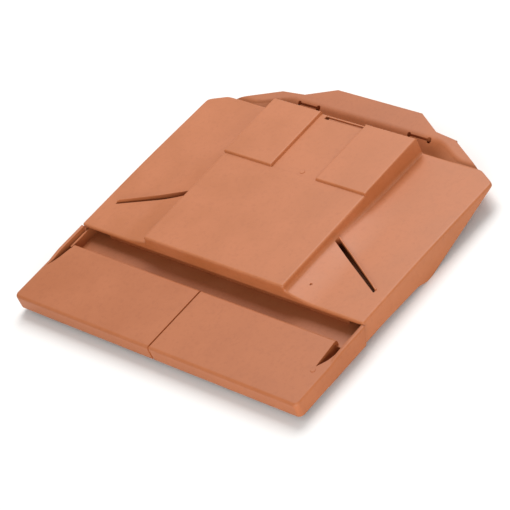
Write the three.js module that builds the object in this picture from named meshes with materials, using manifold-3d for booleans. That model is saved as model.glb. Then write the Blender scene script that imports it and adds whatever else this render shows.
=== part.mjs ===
// In-line roof vent for plain tiles, in moulded plastic: a base tray under a vented cover.
// Millimetres. X runs across the roof, Y up the slope and Z away from it. The sizes below are
// in the tile's own frame: y is 0 at the front edge and z is 0 on top of the front plates.
// The last lines move the whole to its origin, under the middle of its box.
import * as THREE from 'three';
import { mergeVertices } from 'three/addons/utils/BufferGeometryUtils.js';
import { ConvexGeometry } from 'three/addons/geometries/ConvexGeometry.js';
import Module from 'manifold-3d';

// Driving sizes of the whole
const tileWidth = 165; // one plain tile; the vent is two tiles wide
const overallLength = 302; // front edge to the rear edge of the flange
const wall = 2.5; // moulded wall of both pieces
const fitGap = 0.4; // clearance between the base and the cover

// Front plates
const plateDepth = 67.5; // front edge to the trough
const plateThickness = 13.5; // height of the front face
const plateRounding = 2.2; // on the plates' front and rear edges
const jointWidth = 1.4; // groove between the two tile faces
const jointDepth = 1.2;
const railWidth = 4;
const railHeight = 1.5; // rail top at the skirts
const railRun = 18; // along which a rail rises from the plates to its full height
const railGap = 0.6; // between a rail's slanted end and the skirt's front edge

// The pointed gap between each plate and its rail
const notchFront = 39; // its tip, from the front edge
const notchWaist = 48; // where its sides bend
const notchDrop = 5; // the plates' rear wall stands this much lower behind each gap
const wellMargin = 3; // floor under each gap, past its front and inner sides
const rightTipInset = 12; // from the vent's side
const rightWaistInset = 5.5; // the right gap bends on its outer side
const rightCornerInset = 14.5; // where its inner side meets the trough
const leftTipInset = 3.5;
const leftWaistInset = 7.5; // the left gap bends on its inner side
const leftCornerInset = 11;

// Trough, deck and throat of the base
const sideInset = 2; // cover skirt, in from the rails' sides
const weirSetback = 24.5; // trough width, from the plates to the weir
const weirHeight = 8;
const weirInset = 26; // from the vent's sides
const throatInset = 9; // clear opening into the roof, in from the raised plate's sides
const throatFront = 122;
const throatSetback = 32; // its rear side, from the cover's rear edge
const upstandHeight = 9; // throat wall above the deck
const restDepth = 19; // lowest edge, under the plates' top

// Rear flange of the base
const channelWidth = 6; // open channel behind the cover
const riserRun = 12; // slope from the deck up to the flange
const flangeDrop = 1; // flange top, under the plates' top
const flangeReach = 40; // from the cover's rear edge to the flange's
const flangeInset = 117; // ends of the straight rear edge, from the vent's sides
const shoulderInset = 90; // where the small chamfers end
const shoulderSetback = 14.5; // from the rear edge
const cornerInset = 65; // where the long chamfers start
const cornerSetback = 17.5;
const chamferRun = 32; // length of the long chamfers along the slope
const fillInset = 43; // outside this the channel is filled to the flange
const taperLength = 61.5; // along which the deck draws in behind the skirts
const taperInset = 11;
const ribSpacing = 55; // stiffening ribs under the front plates
const ribThickness = 2;
const ribHeight = 4;

// Cover
const lipSetback = 87; // cover's front edge, from the front edge of the plates
const wingHeight = 3; // wing top at the lip
const wingRearHeight = 0.5;
const wingBend = 165; // where the wing starts to fall, from the front edge
const wingRounding = 1.6;
const raisedInset = 1.5; // raised plate, in from one tile's width at each side
const raisedHeight = 14;
const raisedRounding = 1.8;
const rampWidth = 34; // the wing's sweep up to the raised plate
const rampRise = 5;
const rampSetback = 57; // where the sweep ends, from the cover's rear edge
const courseLength = 68; // upper plates, along the slope
const courseRise = 2;
const courseOverhang = 1; // upper plates past the raised side
const stripHalfWidth = 25.5; // sunk strip between the upper plates
const courseRounding = 0.8;

// Skirts of the cover
const skirtFrontRun = 6.5; // slope of the skirt's front edge
const skirtKnee = 160; // the lowest part, from the front edge
const kneeWidth = 6;
const kneeStep = 11;
const kneeShoulder = 2;

// Water slots in the wings, each a slanted band with a low lip behind it
const slotOuterInset = 13.5; // from the cover's side
const slotOuterY = 116.5; // front edge of the slot at its outer end
const slotSlant = 0.48; // how far it runs up the slope for each millimetre inwards
const slotTaperLength = 45.5; // outer stretch that narrows
const slotRun = 4.4; // front edge to rear edge, up the slope
const slotOuterRun = 2.6;
const slotGap = 1.5; // between a slot and the raised plate
const slotLipHeight = 2.2;
const slotLipThickness = 1.6;

// Clip windows in the riser: a slit with a hole at each end
const clipInset = 18; // middle of a window, in from the raised plate's side
const clipLength = 25;
const clipSlit = 0.9;
const clipHole = 3;
const clipSetback = 1.8; // middle of the slit, in front of the flange
const pocketMargin = 1.6; // closed pocket under each window, around it and wall
const pocketWidth = 8;
const pocketDepth = 12; // its underside, under the plates' top

// Groove across the rear of the sunk strip, with a hole through its left end
const grooveMiddle = 3;
const grooveLength = 44;
const grooveWidth = 4;
const grooveSetback = 2; // from the cover's rear edge
const grooveDepth = 1.5;
const grooveHole = 4;

// Making of the solids
const roundingSteps = 3; // flats in each rounded edge
const weldDistance = 0.0001;
const cutMargin = 20; // how far a cutting block runs past what it cuts

// Worked-out places
const halfWidth = tileWidth;
const coverHalfWidth = halfWidth - sideInset;
const deckTop = wall - plateThickness;
const deckHalfWidth = coverHalfWidth - wall - fitGap;
const raisedHalfWidth = halfWidth / 2 - raisedInset;
const coverRear = overallLength - flangeReach;
const courseFront = coverRear - courseLength;
const throatHalfWidth = raisedHalfWidth - throatInset;
const throatRear = coverRear - throatSetback;
const weirFront = plateDepth + weirSetback;
const riserFront = coverRear + channelWidth;
const flangeFront = riserFront + riserRun;
const flangeHalfWidth = halfWidth - flangeInset;
const shoulderHalfWidth = halfWidth - shoulderInset;
const shoulderY = overallLength - shoulderSetback;
const cornerHalfWidth = halfWidth - cornerInset;
const cornerY = overallLength - cornerSetback;
const sideRearY = cornerY - chamferRun;
const taperFront = sideRearY - taperLength;
const weirHalfWidth = halfWidth - weirInset;
const slotOuterX = coverHalfWidth - slotOuterInset;
const clipMiddle = raisedHalfWidth - clipInset;
const wingUnderside = wingHeight - wall;
const skirtHead = wingHeight - wall / 2;
const riserSlope = (-flangeDrop - deckTop) / riserRun;

const wasm = await Module();
wasm.setup();

// A closed geometry as a solid that can be joined and cut
function solid(geometry) {
  const bare = geometry.clone();
  bare.deleteAttribute('normal');
  bare.deleteAttribute('uv');
  const merged = mergeVertices(bare, weldDistance);
  return new wasm.Manifold(new wasm.Mesh({
    numProp: 3,
    vertProperties: merged.attributes.position.array,
    triVerts: Uint32Array.from(merged.index.array),
  }));
}

function box(x, y, z) {
  const geometry = new THREE.BoxGeometry(x[1] - x[0], y[1] - y[0], z[1] - z[0]);
  geometry.translate((x[0] + x[1]) / 2, (y[0] + y[1]) / 2, (z[0] + z[1]) / 2);
  return solid(geometry);
}

function shapeOf(points) {
  return new THREE.Shape(points.map(([a, b]) => new THREE.Vector2(a, b)));
}

// A plan outline (x, y) raised from one height to another
function prism(points, low, high) {
  const geometry = new THREE.ExtrudeGeometry(shapeOf(points), { depth: high - low, bevelEnabled: false });
  geometry.translate(0, 0, low);
  return solid(geometry);
}

// A plan outline with its upper edge rounded
function pad(points, low, high, rounding) {
  const geometry = new THREE.ExtrudeGeometry(shapeOf(points), {
    depth: high - low - rounding,
    bevelSize: rounding,
    bevelOffset: -rounding,
    bevelThickness: rounding,
    bevelSegments: roundingSteps,
  });
  geometry.translate(0, 0, low);
  const reach = 2 * overallLength;
  return solid(geometry).intersect(box([-reach, reach], [-reach, reach], [low, high + rounding]));
}

// A side profile (y, z) carried across from x0 to x1
function across(points, x0, x1) {
  const geometry = new THREE.ExtrudeGeometry(shapeOf(points), { depth: x1 - x0, bevelEnabled: false });
  geometry.applyMatrix4(new THREE.Matrix4().makeBasis(
    new THREE.Vector3(0, 1, 0),
    new THREE.Vector3(0, 0, 1),
    new THREE.Vector3(1, 0, 0),
  ));
  geometry.translate(x0, 0, 0);
  return solid(geometry);
}

// The closed profile of a sheet whose upper line is given, with mitred bends
function sheet(points, thickness) {
  const lower = points.map((point, i) => {
    const before = points[Math.max(i - 1, 0)];
    const after = points[Math.min(i + 1, points.length - 1)];
    const into = new THREE.Vector2(point[0] - before[0], point[1] - before[1]);
    const out = new THREE.Vector2(after[0] - point[0], after[1] - point[1]);
    if (i === 0) into.copy(out);
    if (i === points.length - 1) out.copy(into);
    into.normalize();
    out.normalize();
    const mitre = into.clone().add(out).normalize();
    const reach = thickness / mitre.dot(out);
    return [point[0] + mitre.y * reach, point[1] - mitre.x * reach];
  });
  return [...points, ...lower.reverse()];
}

// Points of a quarter round from one direction to another, in degrees
function quarter(centreY, centreZ, radius, from, to) {
  return Array.from({ length: roundingSteps + 1 }, (_, i) => {
    const angle = THREE.MathUtils.degToRad(from + ((to - from) * i) / roundingSteps);
    return [centreY + radius * Math.cos(angle), centreZ + radius * Math.sin(angle)];
  });
}

function join(solids) {
  return solids.reduce((whole, piece) => whole.add(piece));
}

function bothSides(make) {
  return [make(1), make(-1)];
}

function mirrored(points, side) {
  const turned = points.map(([x, y]) => [x * side, y]);
  return side > 0 ? turned : turned.reverse();
}

// How far out the rear chamfer has come at a place up the slope, for a given half width
function chamferAt(y, half) {
  return cornerHalfWidth + ((cornerY - y) / chamferRun) * (half - cornerHalfWidth);
}

// Outline of the deck and flange, seen from above: drawn in behind the skirts, with chamfers
function deckOutline() {
  const taperX = deckHalfWidth - taperInset;
  const taperRear = cornerY - (chamferRun * (taperX - cornerHalfWidth)) / (deckHalfWidth - cornerHalfWidth);
  const right = [
    [deckHalfWidth, plateDepth - wall],
    [deckHalfWidth, taperFront],
    [taperX, taperRear],
    [cornerHalfWidth, cornerY],
    [shoulderHalfWidth, shoulderY],
    [flangeHalfWidth, overallLength],
  ];
  const left = right.map(([x, y]) => [-x, y]).reverse();
  return [...right, ...left];
}

// Where the skirt's slanted front edge stands at a height
function skirtFrontAt(z) {
  return lipSetback - (skirtFrontRun * (skirtHead - z)) / (skirtHead + plateThickness);
}

// The two front plates: an open-bottomed shelf with side rails and rounded edges
function frontShelf() {
  const profile = [
    [0, -plateThickness],
    [plateDepth, -plateThickness],
    ...quarter(plateDepth - plateRounding, -plateRounding, plateRounding, 0, 90),
    ...quarter(plateRounding, -plateRounding, plateRounding, 90, 180),
  ];
  const shelf = across(profile, -halfWidth, halfWidth);
  const hollow = box(
    [-halfWidth + wall, halfWidth - wall],
    [wall, plateDepth - wall],
    [-plateThickness - cutMargin, -wall],
  );
  const joint = box(
    [-jointWidth / 2, jointWidth / 2],
    [-cutMargin, plateDepth + cutMargin],
    [-jointDepth, cutMargin],
  );
  const faceJoint = box(
    [-jointWidth / 2, jointWidth / 2],
    [-cutMargin, jointDepth],
    [-plateThickness - cutMargin, cutMargin],
  );
  const body = shelf.subtract(hollow).subtract(joint).subtract(faceJoint);
  return join([notches().reduce((whole, notch) => whole.subtract(notch), body), ...rails()]);
}

// The gap beside each plate: through the plate, and part of the way down its rear wall
function notches() {
  const outer = halfWidth - railWidth;
  const rear = plateDepth - wall;
  const right = [
    [halfWidth - rightTipInset, notchFront],
    [halfWidth - rightWaistInset, notchWaist],
    [outer, notchFront + railRun],
    [outer, rear],
    [halfWidth - rightCornerInset, rear],
  ];
  const left = [
    [halfWidth - leftTipInset, notchFront],
    [outer, notchFront + railRun],
    [outer, rear],
    [halfWidth - leftCornerInset, rear],
    [halfWidth - leftWaistInset, notchWaist],
  ];
  return bothSides((side) => {
    const gap = prism(mirrored(side > 0 ? right : left, side), -wall - cutMargin, cutMargin);
    const inner = halfWidth - (side > 0 ? rightCornerInset : leftCornerInset);
    const span = [side * inner, side * outer].sort((a, b) => a - b);
    return gap.add(box(span, [rear - wall, plateDepth + cutMargin], [-notchDrop, cutMargin]));
  });
}

// The side rails, which rise beside the plates and meet the cover's skirts
function rails() {
  const profile = [
    [notchFront, -plateThickness],
    [skirtFrontAt(-plateThickness) - railGap, -plateThickness],
    [skirtFrontAt(railHeight) - railGap, railHeight],
    [notchFront + railRun, railHeight],
    [notchFront, -plateRounding / 4],
  ];
  return bothSides((side) => across(
    profile,
    side > 0 ? halfWidth - railWidth : -halfWidth,
    side > 0 ? halfWidth : railWidth - halfWidth,
  ));
}

// A floor under each gap, level with the deck, which keeps rain out of the roof
function wellFloors() {
  const inner = halfWidth - rightCornerInset - wellMargin;
  return bothSides((side) => box(
    side > 0 ? [inner, halfWidth - wall / 2] : [wall / 2 - halfWidth, -inner],
    [notchFront - wellMargin, plateDepth - wall / 2],
    [-plateThickness, deckTop],
  ));
}

// Ribs across the hollow under the front plates, evenly spaced from the middle
function shelfRibs() {
  const count = Math.floor((halfWidth - rightCornerInset) / ribSpacing);
  const places = Array.from({ length: 2 * count + 1 }, (_, i) => (i - count) * ribSpacing);
  return places.map((x) => box(
    [x - ribThickness / 2, x + ribThickness / 2],
    [wall / 2, plateDepth - wall / 2],
    [-wall - ribHeight, -wall / 2],
  ));
}

// Deck from the trough to the flange, one sheet with a riser behind the cover
function deck() {
  const line = [
    [plateDepth - wall, deckTop],
    [riserFront, deckTop],
    [flangeFront, -flangeDrop],
    [overallLength, -flangeDrop],
  ];
  const whole = across(sheet(line, wall), -halfWidth, halfWidth);
  return whole.intersect(prism(deckOutline(), -restDepth - cutMargin, cutMargin));
}

// Corner plates that fill the channel's ends up to the flange
function channelEnds() {
  const rear = coverRear + fitGap;
  return bothSides((side) => prism(
    mirrored([
      [halfWidth - fillInset, rear],
      [chamferAt(rear, deckHalfWidth), rear],
      [cornerHalfWidth, cornerY],
      [cornerHalfWidth, flangeFront],
    ], side),
    deckTop - wall / 2,
    -flangeDrop,
  ));
}

// Weir across the trough, walls beside the deck and the throat's wall down to the rest edge
function deckWalls() {
  const weir = box(
    [-weirHalfWidth, weirHalfWidth],
    [weirFront, weirFront + wall],
    [deckTop - wall / 2, deckTop + weirHeight],
  );
  const sides = bothSides((side) => box(
    side > 0 ? [deckHalfWidth - wall, deckHalfWidth] : [-deckHalfWidth, wall - deckHalfWidth],
    [plateDepth - wall, taperFront],
    [deckTop - wall / 2, wingRearHeight - wall - fitGap],
  ));
  const stubs = bothSides((side) => box(
    side > 0 ? [deckHalfWidth - wall, halfWidth - wall / 2] : [wall / 2 - halfWidth, wall - deckHalfWidth],
    [plateDepth - wall, lipSetback - skirtFrontRun - railGap],
    [deckTop - wall, deckTop],
  ));
  return [weir, ...sides, ...stubs];
}

function throatWall() {
  const x = throatHalfWidth + wall;
  return box([-x, x], [throatFront - wall, throatRear + wall], [-restDepth, deckTop + upstandHeight]);
}

function throatOpening() {
  return box(
    [-throatHalfWidth, throatHalfWidth],
    [throatFront, throatRear],
    [-restDepth - cutMargin, raisedHeight],
  );
}

// A block over a clip's place: its middle across, size in plan, low and high end
function clipBlock(x, length, width, low, high) {
  const middleY = flangeFront - clipSetback;
  return box([x - length / 2, x + length / 2], [middleY - width / 2, middleY + width / 2], [low, high]);
}

// The closed pockets under the riser, which keep rain out where the clips stand. Their tops
// follow the middle of the riser's wall.
function clipPockets() {
  const front = flangeFront - clipSetback - pocketWidth / 2;
  const rear = front + pocketWidth;
  const head = -flangeDrop - wall / 2;
  const sink = (wall / 2) * Math.hypot(1, riserSlope);
  const profile = [
    [front, -pocketDepth],
    [rear, -pocketDepth],
    [rear, head],
    [riserFront + (head - deckTop + sink) / riserSlope, head],
    [front, deckTop + (front - riserFront) * riserSlope - sink],
  ];
  const reach = clipLength / 2 + pocketMargin;
  return bothSides((side) => across(profile, side * clipMiddle - reach, side * clipMiddle + reach));
}

// The clip windows through the riser: a slit with a hole at each end, over the pocket's hollow
function clipWindows() {
  const floor = -pocketDepth + pocketMargin;
  const cut = (x, length, width) => clipBlock(x, length, width, floor, cutMargin);
  return bothSides((side) => join([
    cut(side * clipMiddle, clipLength, clipSlit),
    cut(side * clipMiddle - (clipLength - clipHole) / 2, clipHole, clipHole),
    cut(side * clipMiddle + (clipLength - clipHole) / 2, clipHole, clipHole),
  ]));
}

function ventBase() {
  const body = join([
    frontShelf(),
    ...wellFloors(),
    ...shelfRibs(),
    deck(),
    ...channelEnds(),
    ...clipPockets(),
    ...deckWalls(),
    throatWall(),
  ]);
  return [throatOpening(), ...clipWindows()].reduce((whole, cut) => whole.subtract(cut), body);
}

// Outline of the cover, seen from above: square in front, following the base's chamfers behind
function coverOutline() {
  const right = [
    [coverHalfWidth, lipSetback],
    [coverHalfWidth, sideRearY],
    [chamferAt(coverRear, coverHalfWidth), coverRear],
  ];
  const left = right.map(([x, y]) => [-x, y]).reverse();
  return [...right, ...left];
}

function wings() {
  const line = [
    [lipSetback, wingHeight],
    [wingBend, wingHeight],
    [coverRear + wall, wingRearHeight],
  ];
  const whole = across(sheet(line, wall), -halfWidth, halfWidth);
  return whole.intersect(pad(coverOutline(), -cutMargin, wingHeight, wingRounding));
}

// The sweep between a wing and the raised plate, tallest at the front
function ramps() {
  return bothSides((side) => {
    const inner = raisedHalfWidth - wall / 2;
    const points = [
      [inner, lipSetback, wingHeight + rampRise],
      [raisedHalfWidth + rampWidth, lipSetback, wingHeight],
      [inner, lipSetback, wingUnderside + wall / 2],
      [raisedHalfWidth + rampWidth, lipSetback, wingUnderside + wall / 2],
      [inner, coverRear - rampSetback, wingUnderside],
    ];
    return solid(new ConvexGeometry(points.map(([x, y, z]) => new THREE.Vector3(x * side, y, z))));
  });
}

// The raised plate and its walls, with the two upper plates on it
function raisedPlates() {
  const plan = (x0, x1, y0, y1) => [[x0, y0], [x1, y0], [x1, y1], [x0, y1]];
  const body = pad(
    plan(-raisedHalfWidth, raisedHalfWidth, lipSetback, coverRear),
    wingRearHeight - wall,
    raisedHeight,
    raisedRounding,
  );
  const upper = bothSides((side) => {
    const x = [side * stripHalfWidth, side * (raisedHalfWidth + courseOverhang)].sort((a, b) => a - b);
    return pad(
      plan(x[0], x[1], courseFront, coverRear),
      raisedHeight - wall,
      raisedHeight + courseRise,
      courseRounding,
    );
  });
  return join([body, ...upper]);
}

function raisedHollow() {
  const x = raisedHalfWidth - wall;
  const lower = box([-x, x], [lipSetback + wall, coverRear - wall], [-cutMargin, raisedHeight - wall]);
  const underLip = box([-x, x], [lipSetback - cutMargin, coverRear - wall], [-cutMargin, wingUnderside]);
  return lower.add(underLip);
}

// A skirt's side profile: straight behind the rails, a step down to the knee, then up to the rear
function skirts() {
  const bottom = -plateThickness;
  const profile = [
    [lipSetback - skirtFrontRun, bottom],
    [lipSetback + cutMargin, bottom],
    [skirtKnee - kneeStep, bottom - kneeShoulder],
    [skirtKnee - kneeWidth / 2, -restDepth],
    [skirtKnee + kneeWidth / 2, -restDepth],
    [sideRearY - wall, wingRearHeight - wall],
    [sideRearY - wall, wingRearHeight - wall / 4],
    [wingBend, skirtHead],
    [lipSetback, skirtHead],
  ];
  return bothSides((side) => across(
    profile,
    side > 0 ? coverHalfWidth - wall : -coverHalfWidth,
    side > 0 ? coverHalfWidth : wall - coverHalfWidth,
  ));
}

// A slot's plan outline, with the lip's thickness added behind it when one is given
function slotOutline(side, lip) {
  const innerX = raisedHalfWidth + slotGap;
  const taperX = slotOuterX - slotTaperLength;
  const front = (x) => slotOuterY + (slotOuterX - x) * slotSlant;
  return mirrored([
    [innerX, front(innerX)],
    [slotOuterX, slotOuterY],
    [slotOuterX, slotOuterY + slotOuterRun + lip],
    [taperX, front(taperX) + slotRun + lip],
    [innerX, front(innerX) + slotRun + lip],
  ], side);
}

function slots() {
  return bothSides((side) => prism(slotOutline(side, 0), -cutMargin, cutMargin));
}

// The low lip that stands behind each slot
function slotLips() {
  return bothSides((side) => {
    const outline = slotOutline(side, slotLipThickness);
    const whole = prism(outline, wingUnderside + wall / 2, wingHeight + slotLipHeight);
    return whole.subtract(prism(slotOutline(side, 0), -cutMargin, cutMargin));
  });
}

// The groove across the rear of the strip and the hole through its left end
function stripGroove() {
  const rear = coverRear - grooveSetback;
  const left = grooveMiddle - grooveLength / 2;
  const groove = box(
    [left, left + grooveLength],
    [rear - grooveWidth, rear],
    [raisedHeight - grooveDepth, raisedHeight + cutMargin],
  );
  const hole = box([left, left + grooveHole], [rear - grooveWidth, rear], [-cutMargin, raisedHeight]);
  return groove.add(hole);
}

function ventCover() {
  const shell = join([wings(), ...ramps(), raisedPlates(), ...skirts()]).subtract(raisedHollow());
  const body = join([shell, ...slotLips()]);
  return [...slots(), stripGroove()].reduce((whole, cut) => whole.subtract(cut), body);
}

const terracotta = (roughness) => new THREE.MeshStandardMaterial({ color: '#c67d53', roughness, metalness: 0 });

function namedMesh(name, manifold, material) {
  const made = manifold.getMesh();
  const geometry = new THREE.BufferGeometry();
  geometry.setAttribute('position', new THREE.BufferAttribute(made.vertProperties, 3));
  geometry.setIndex(new THREE.BufferAttribute(made.triVerts, 1));
  geometry.computeVertexNormals();
  const mesh = new THREE.Mesh(geometry, material);
  mesh.name = name;
  return mesh;
}

const vent = new THREE.Group();
vent.add(namedMesh('vent_base', ventBase(), terracotta(0.55)));
vent.add(namedMesh('vent_cover', ventCover(), terracotta(0.5)));
vent.position.set(0, -overallLength / 2, restDepth);

const part = new THREE.Group();
part.add(vent);

export default part;
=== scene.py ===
"""In-line roof vent for plain tiles: two plastic mouldings, dressed around their solid model.

Shapes are worked out in millimetres in the tile's own frame: x runs across the roof from the
middle, y up the slope from the front edge, and z away from the roof from the front plates' top.
"""

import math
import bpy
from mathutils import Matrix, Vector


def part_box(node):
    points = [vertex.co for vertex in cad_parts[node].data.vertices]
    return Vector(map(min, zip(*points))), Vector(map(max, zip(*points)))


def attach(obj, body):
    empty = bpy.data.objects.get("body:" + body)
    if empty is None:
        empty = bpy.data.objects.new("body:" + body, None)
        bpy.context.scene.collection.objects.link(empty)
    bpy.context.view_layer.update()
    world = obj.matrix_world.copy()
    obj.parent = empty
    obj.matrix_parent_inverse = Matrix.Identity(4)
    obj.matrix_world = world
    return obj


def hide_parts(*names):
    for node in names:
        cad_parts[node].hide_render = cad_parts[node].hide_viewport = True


bl_info = {
    "name": "Roof Vent Tile",
    "version": (1, 0, 0),
    "blender": (4, 5, 0),
    "location": "View3D > Sidebar > Roof Vent",
    "description": "Builds an in-line roof vent of two plastic mouldings, with its stage",
    "category": "Add Mesh",
}

from types import SimpleNamespace

import bpy
import numpy as np
from mathutils import Matrix

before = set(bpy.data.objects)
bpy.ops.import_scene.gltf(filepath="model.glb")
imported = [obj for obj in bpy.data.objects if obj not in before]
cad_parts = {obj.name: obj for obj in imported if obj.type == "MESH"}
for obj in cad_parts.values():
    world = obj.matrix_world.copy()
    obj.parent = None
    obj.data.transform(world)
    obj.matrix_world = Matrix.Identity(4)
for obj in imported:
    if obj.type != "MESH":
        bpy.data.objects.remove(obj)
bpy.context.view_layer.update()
BASE_BOX = [np.array(corner) * 1000 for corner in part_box("vent_base")]
HALF_WIDTH = float(BASE_BOX[1][0])
LENGTH = float(BASE_BOX[1][1] - BASE_BOX[0][1])
REST_DEPTH = 19.0  # lowest edges, under the front plates' top
TILE_ORIGIN = np.array([0.0, BASE_BOX[0][1], REST_DEPTH])

MARGIN = 20.0  # how far a cutting block runs past what it cuts
SHARP_ANGLE = math.radians(32)
SKIRT_LEAN = 6.5  # slope of the skirts' front edges, which the rails' ends follow


# Shapes as whole arrays


def stations(start, *stretches):
    """Places along a line: each stretch gives where it ends and how many steps lead there."""
    places = [np.array([float(start)])]
    for end, steps in stretches:
        places.append(np.linspace(places[-1][-1], end, steps + 1)[1:])
    return np.concatenate(places)


def smooth(low, high, value):
    """0 up to low, 1 from high on, and an S curve with level ends between them."""
    t = np.clip((value - low) / (high - low), 0.0, 1.0)
    return t * t * (3 - 2 * t)


def soft_ramp(value, width):
    """0 well before 0 and equal to value well after it, with a round bend as long as width."""
    return np.where(value > 12 * width, value, width * np.log1p(np.exp(np.minimum(value / width, 12))))


def quarter(steps):
    """Sine and cosine over a quarter turn, for rounded edges."""
    angle = np.linspace(0, math.pi / 2, steps + 1)
    return np.sin(angle), np.cos(angle)


def new_piece(name, points, faces):
    """A mesh object from points in tile millimetres, put into metres in the row's frame."""
    mesh = bpy.data.meshes.new(name)
    mesh.from_pydata(((points + TILE_ORIGIN) / 1000).tolist(), [], faces)
    mesh.validate()
    piece = bpy.data.objects.new(name, mesh)
    bpy.context.scene.collection.objects.link(piece)
    return piece


def slab(name, top, bottom):
    """A closed body between two grids of points with as many rows and columns each.

    The top's rows run up the slope and its columns to +X, so its faces look up. The bottom's
    faces look down, and a strip of faces joins the two along each of their four borders.
    """
    rows, columns = top.shape[:2]
    upper = np.arange(rows * columns).reshape(rows, columns)
    lower = upper + rows * columns

    def grid_faces(ids):
        return np.stack([ids[:-1, :-1], ids[:-1, 1:], ids[1:, 1:], ids[1:, :-1]], axis=-1).reshape(-1, 4)

    def strip(a, b):
        return np.stack([a[:-1], b[:-1], b[1:], a[1:]], axis=-1)

    faces = np.concatenate([
        grid_faces(upper),
        grid_faces(lower)[:, ::-1],
        strip(upper[0], lower[0]),
        strip(lower[-1], upper[-1]),
        strip(lower[:, 0], upper[:, 0]),
        strip(upper[:, -1], lower[:, -1]),
    ])
    points = np.concatenate([top.reshape(-1, 3), bottom.reshape(-1, 3)])
    return new_piece(name, points, faces.tolist())


def bar(name, rings):
    """A closed body through rings of points that follow each other up the slope.

    Each ring runs clockwise as seen from the front, and the first and last one are its ends.
    """
    count, around = rings.shape[:2]
    ids = np.arange(count * around).reshape(count, around)
    turned = np.roll(ids, -1, axis=1)
    sides = np.stack([ids[:-1], turned[:-1], turned[1:], ids[1:]], axis=-1).reshape(-1, 4)
    faces = [ids[0][::-1].tolist(), ids[-1].tolist(), *sides.tolist()]
    return new_piece(name, rings.reshape(-1, 3), faces)


def prism(name, outline, low, high, top=0.0, foot=0.0, upright=0.0):
    """A plan outline, counter-clockwise, raised from one height to another.

    Its upper, lower and upright edges are rounded by the given radii. The radius of the upper
    edges can also be given for each side of the outline.
    """
    outline = np.asarray(outline, float)
    count = len(outline)
    floor = np.column_stack([outline, np.full(count, float(low))])
    ceiling = np.column_stack([outline, np.full(count, float(high))])
    here = np.arange(count)
    following = np.roll(here, -1)
    sides = np.stack([here, following, following + count, here + count], axis=-1)
    faces = [here[::-1].tolist(), (here + count).tolist(), *sides.tolist()]
    piece = new_piece(name, np.concatenate([floor, ceiling]), faces)
    widest = max(np.max(top), foot, upright)
    if widest:
        ends = np.empty(len(piece.data.edges) * 2, int)
        piece.data.edges.foreach_get("vertices", ends)
        ends = ends.reshape(-1, 2)
        high_ends = (ends >= count).sum(axis=1)
        low_end = ends.min(axis=1) % count
        high_end = ends.max(axis=1) % count
        first = np.where((low_end + 1) % count == high_end, low_end, high_end)
        top_radius = np.broadcast_to(np.asarray(top, float), (count,))[first]
        radii = np.choose(high_ends, [np.full(len(ends), foot), np.full(len(ends), upright), top_radius])
        layer = piece.data.attributes.new("bevel_weight_edge", "FLOAT", "EDGE")
        layer.data.foreach_set("value", (radii / widest).astype(np.float32))
        bevel = piece.modifiers.new("rounded edges", "BEVEL")
        bevel.width = widest / 1000
        bevel.segments = 5
        bevel.limit_method = "WEIGHT"
        settle(piece)
    return piece


def box(name, x, y, z, **rounding):
    """A block between two places along each axis."""
    x, y = sorted(x), sorted(y)
    return prism(name, [(x[0], y[0]), (x[1], y[0]), (x[1], y[1]), (x[0], y[1])], *z, **rounding)


def disc(name, x, y, radius, low, high, top=0.0):
    """A round pad with a rounded upper edge."""
    angle = np.linspace(0, 2 * math.pi, 24, endpoint=False)
    outline = np.column_stack([x + radius * np.cos(angle), y + radius * np.sin(angle)])
    return prism(name, outline, low, high, top=top)


def rounded_outline(corners, radius, steps=4):
    """An outline whose corners are each replaced by a curve that leaves and meets the sides."""
    corners = np.asarray(corners, float)
    before = np.roll(corners, 1, axis=0) - corners
    after = np.roll(corners, -1, axis=0) - corners
    radius = np.broadcast_to(np.asarray(radius, float), (len(corners),))[:, None]
    back = before / np.linalg.norm(before, axis=1, keepdims=True) * radius
    ahead = after / np.linalg.norm(after, axis=1, keepdims=True) * radius
    t = np.linspace(0, 1, steps + 1)[None, :, None]
    middle = corners[:, None]
    curve = middle + back[:, None] * (1 - t) ** 2 + ahead[:, None] * t ** 2
    return curve.reshape(-1, 2)


def mirrored(outline, side):
    """The outline for the right (1) or the left (-1), kept counter-clockwise."""
    outline = np.asarray(outline, float) * [side, 1]
    return outline if side > 0 else outline[::-1]


def remove(piece):
    """Takes a piece that isn't needed any more out of the file."""
    mesh = piece.data
    bpy.data.objects.remove(piece)
    bpy.data.meshes.remove(mesh)


def settle(piece):
    """Applies the modifiers of a piece to its mesh."""
    finished = bpy.data.meshes.new_from_object(
        piece.evaluated_get(bpy.context.evaluated_depsgraph_get())
    )
    old = piece.data
    piece.modifiers.clear()
    piece.data = finished
    bpy.data.meshes.remove(old)
    finished.name = piece.name


def combine(piece, others, operation):
    """Joins other closed bodies to a piece, cuts them from it, or keeps what they share."""
    for other in others:
        step = piece.modifiers.new(operation.lower(), "BOOLEAN")
        step.operation = operation
        step.solver = "MANIFOLD"
        step.object = other
    settle(piece)
    for other in others:
        remove(other)
    if not piece.data.polygons:
        raise RuntimeError(f"{piece.name} has nothing left after {operation}")


def finish_piece(piece, node, material):
    """Smooths a piece, gives it its material and puts it in the place of its CAD node."""
    mesh = piece.data
    mesh.shade_smooth()
    mesh.set_sharp_from_angle(angle=SHARP_ANGLE)
    mesh.materials.clear()
    mesh.materials.append(material)
    flat = piece.modifiers.new("flat faces stay flat", "WEIGHTED_NORMAL")
    flat.keep_sharp = True
    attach(piece, "root")
    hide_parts(node)


def millimetres(group):
    """The lengths of a settings group in millimetres."""
    return SimpleNamespace(**{name: getattr(group, name) * 1000 for name in group.__annotations__})


# Materials


def linear(colour):
    """The linear colour of an sRGB hex value."""
    parts = [int(colour[i:i + 2], 16) / 255 for i in (1, 3, 5)]
    return [c / 12.92 if c <= 0.04045 else ((c + 0.055) / 1.055) ** 2.4 for c in parts]


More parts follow.
